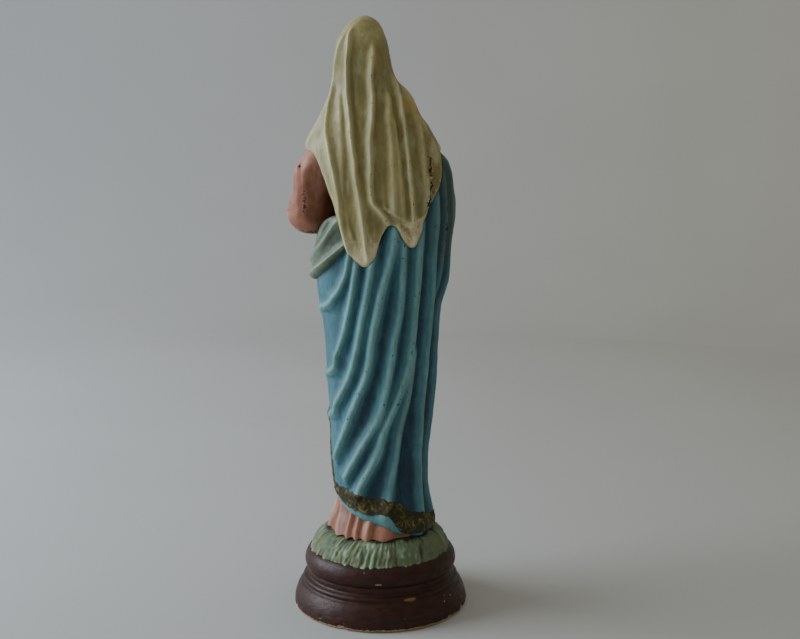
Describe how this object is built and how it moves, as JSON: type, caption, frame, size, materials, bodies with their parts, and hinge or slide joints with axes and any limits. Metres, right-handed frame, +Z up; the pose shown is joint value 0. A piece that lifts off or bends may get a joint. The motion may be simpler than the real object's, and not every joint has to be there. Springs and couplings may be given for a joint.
{
  "type": "madonna statue",
  "caption": "Painted plaster figure of a standing veiled woman with joined hands, in a long mantle and dress, on a round moulded plinth.",
  "frame": {"origin": "centre of the plinth's round foot, on the surface it stands on", "axes": "+Z up; -Y the way the figure faces; +X towards the figure's left hand"},
  "size_m": [0.09, 0.09, 0.3],
  "materials": {
    "plinth_maroon": "glossy dark maroon paint on plaster, worn to cream plaster along the bottom rim",
    "base_card": "plain brown card, matt",
    "grass_green": "matt pale green paint with dark shading between the blades",
    "dress_rose": "matt rose paint on plaster, worn on the ridges",
    "girdle_gilt": "rubbed gilt paint on plaster",
    "skin": "satin flesh-coloured paint on plaster",
    "hair_brown": "matt brown paint on plaster",
    "mantle_blue": "satin blue paint on plaster, chipped on the ridges, with a rubbed gilt border",
    "lining_pale": "matt pale green-white paint on plaster",
    "veil_ivory": "matt ivory paint on plaster with brown dirt in the folds and dark chips",
    "iron_wire": "dull black iron wire"
  },
  "bodies": {
    "root": {"plinth": "plinth_maroon", "base_plug": "base_card", "grass_mound": "grass_green", "dress_skirt": "dress_rose", "dress_bodice": "dress_rose", "girdle": "girdle_gilt", "left_foot": "skin", "right_foot": "skin", "head": "skin", "neck": "skin", "hair": "hair_brown", "left_hand": "skin", "right_hand": "skin", "left_sleeve": "dress_rose", "right_sleeve": "dress_rose", "mantle": "mantle_blue", "mantle_turnback": "lining_pale", "veil": "veil_ivory", "figure_rod": "iron_wire", "neck_wire": "iron_wire", "left_wrist_wire": "iron_wire", "right_wrist_wire": "iron_wire"}
  },
  "joints": []
}
